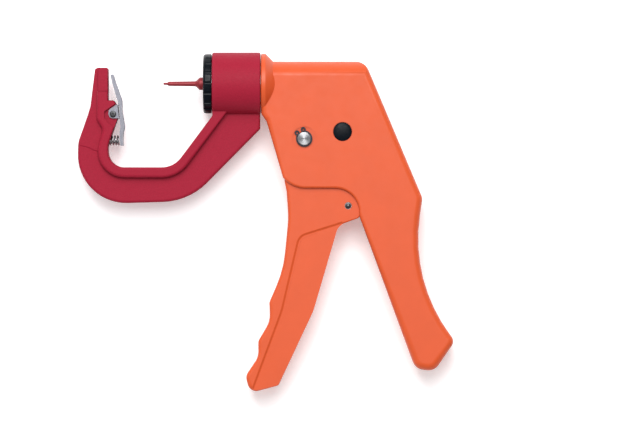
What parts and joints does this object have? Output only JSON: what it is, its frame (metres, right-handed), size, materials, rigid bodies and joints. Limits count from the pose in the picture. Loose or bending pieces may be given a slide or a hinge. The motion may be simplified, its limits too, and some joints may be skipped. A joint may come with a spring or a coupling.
{
  "type": "ear tag applicator",
  "caption": "Squeeze-grip livestock ear tag applicator: moulded two-half housing and trigger, spring-returned plunger with tag pin, and a cast C-frame with anvil and sprung tag clip.",
  "frame": {"origin": "centre of the box round the tool, on the ground under it; the tool lies on its right side", "axes": "+X from the anvil to the back of the housing, +Y from the grips to the plunger, +Z out of the tool's left side"},
  "size_m": [0.2254, 0.2036, 0.0376],
  "materials": {
    "housing_left": "satin",
    "housing_right": "satin",
    "trigger": "satin",
    "trigger_pivot_pin": "satin",
    "plate_dowel": "satin",
    "drive_plate_left": "satin",
    "drive_plate_right": "satin",
    "plunger": "satin",
    "plunger_cross_pin": "satin",
    "plunger_return_spring": "satin",
    "applicator_pin": "satin",
    "barrel_sleeve": "satin",
    "guide_bush": "satin",
    "lock_ring": "satin",
    "frame_key": "satin",
    "c_frame": "satin",
    "tag_clip": "satin",
    "clip_pivot_pin": "satin",
    "clip_spring": "satin",
    "stop_axle": "satin",
    "stop_axle_circlip_left": "satin",
    "stop_axle_circlip_right": "satin",
    "service_plug_left": "satin",
    "service_plug_right": "satin",
    "housing_screw_1": "satin",
    "housing_screw_2": "satin",
    "housing_screw_3": "satin",
    "housing_screw_4": "satin",
    "housing_screw_5": "satin",
    "housing_screw_6": "satin"
  },
  "bodies": {
    "housing": {"housing_left": "housing_left", "housing_right": "housing_right", "plunger_return_spring": "plunger_return_spring", "barrel_sleeve": "barrel_sleeve", "guide_bush": "guide_bush", "frame_key": "frame_key", "c_frame": "c_frame", "clip_pivot_pin": "clip_pivot_pin", "clip_spring": "clip_spring", "stop_axle": "stop_axle", "stop_axle_circlip_left": "stop_axle_circlip_left", "stop_axle_circlip_right": "stop_axle_circlip_right", "service_plug_left": "service_plug_left", "service_plug_right": "service_plug_right", "housing_screw_1": "housing_screw_1", "housing_screw_2": "housing_screw_2", "housing_screw_3": "housing_screw_3", "housing_screw_4": "housing_screw_4", "housing_screw_5": "housing_screw_5", "housing_screw_6": "housing_screw_6"},
    "trigger": {"trigger": "trigger", "drive_plate_left": "drive_plate_left", "drive_plate_right": "drive_plate_right", "plate_dowel": "plate_dowel", "trigger_pivot_pin": "trigger_pivot_pin"},
    "plunger": {"plunger": "plunger", "plunger_cross_pin": "plunger_cross_pin", "applicator_pin": "applicator_pin"},
    "tag_clip": {"tag_clip": "tag_clip"},
    "lock_ring": {"lock_ring": "lock_ring"}
  },
  "joints": [
    {"name": "trigger_pull", "type": "hinge", "parent": "housing", "child": "trigger", "pos_m": [0.04975, 0.00959, 0.0188], "axis": [0, 0, 1], "range_deg": [0, 25.29], "stiffness_Nm_per_rad": 2, "springref_deg": -11.46},
    {"name": "plunger_stroke", "type": "slide", "parent": "housing", "child": "plunger", "axis": [-1, 0, 0], "range_m": [0, 0.034], "deforming": ["plunger_return_spring"]},
    {"name": "clip_open", "type": "hinge", "parent": "housing", "child": "tag_clip", "pos_m": [-0.09145, 0.06459, 0.0188], "axis": [0, 0, -1], "range_deg": [0, 10], "stiffness_Nm_per_rad": 0.15, "springref_deg": -14.32, "deforming": ["clip_spring"]},
    {"name": "lock_ring_turn", "type": "hinge", "parent": "housing", "child": "lock_ring", "pos_m": [-0.03475, 0.08299, 0.0188], "axis": [1, 0, 0], "range_deg": [0, 60]}
  ],
  "couplings": [
    {"joint": "plunger_stroke", "follows": "trigger_pull", "m_per_rad": 0.077015}
  ]
}
